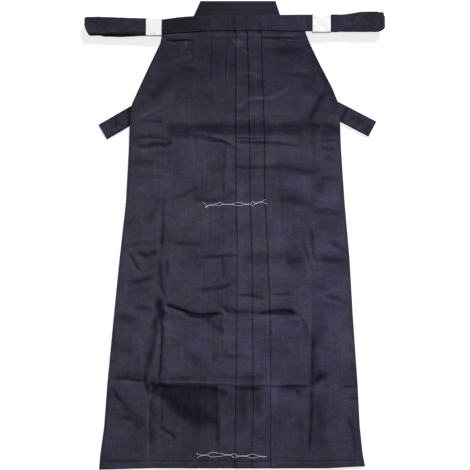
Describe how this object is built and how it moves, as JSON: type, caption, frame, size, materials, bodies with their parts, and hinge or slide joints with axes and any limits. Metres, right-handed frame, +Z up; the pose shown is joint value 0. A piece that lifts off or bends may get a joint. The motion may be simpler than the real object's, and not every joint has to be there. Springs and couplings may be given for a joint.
{
  "type": "hakama trousers laid flat",
  "caption": "Wide pleated wrap-tied trousers laid flat, front up, with a stiff back board above the front band, folded front ties in wraps and back ties at the side slits.",
  "frame": {"origin": "on the surface that the garment lies on, under the middle of its overall size", "axes": "+Z up out of the surface, +Y from the hem to the waist, +X to the wearer's left"},
  "size_m": [0.6522, 1.0209, 0.0159],
  "materials": {
    "cloth": "dark indigo plain-woven cotton with a faint sheen",
    "band": "dark indigo cotton band",
    "board": "dark indigo cotton drawn over a stiff board",
    "tie": "dark indigo folded cotton tie",
    "wrap": "matt white paper wrap"
  },
  "bodies": {
    "root": {"right_front": "cloth", "left_front": "cloth", "right_back": "cloth", "left_back": "cloth", "machi": "cloth", "front_band": "band", "koshi_ita": "board", "right_front_tie": "tie", "left_front_tie": "tie", "right_back_tie": "tie", "left_back_tie": "tie", "right_wrap": "wrap", "left_wrap": "wrap"}
  },
  "joints": []
}
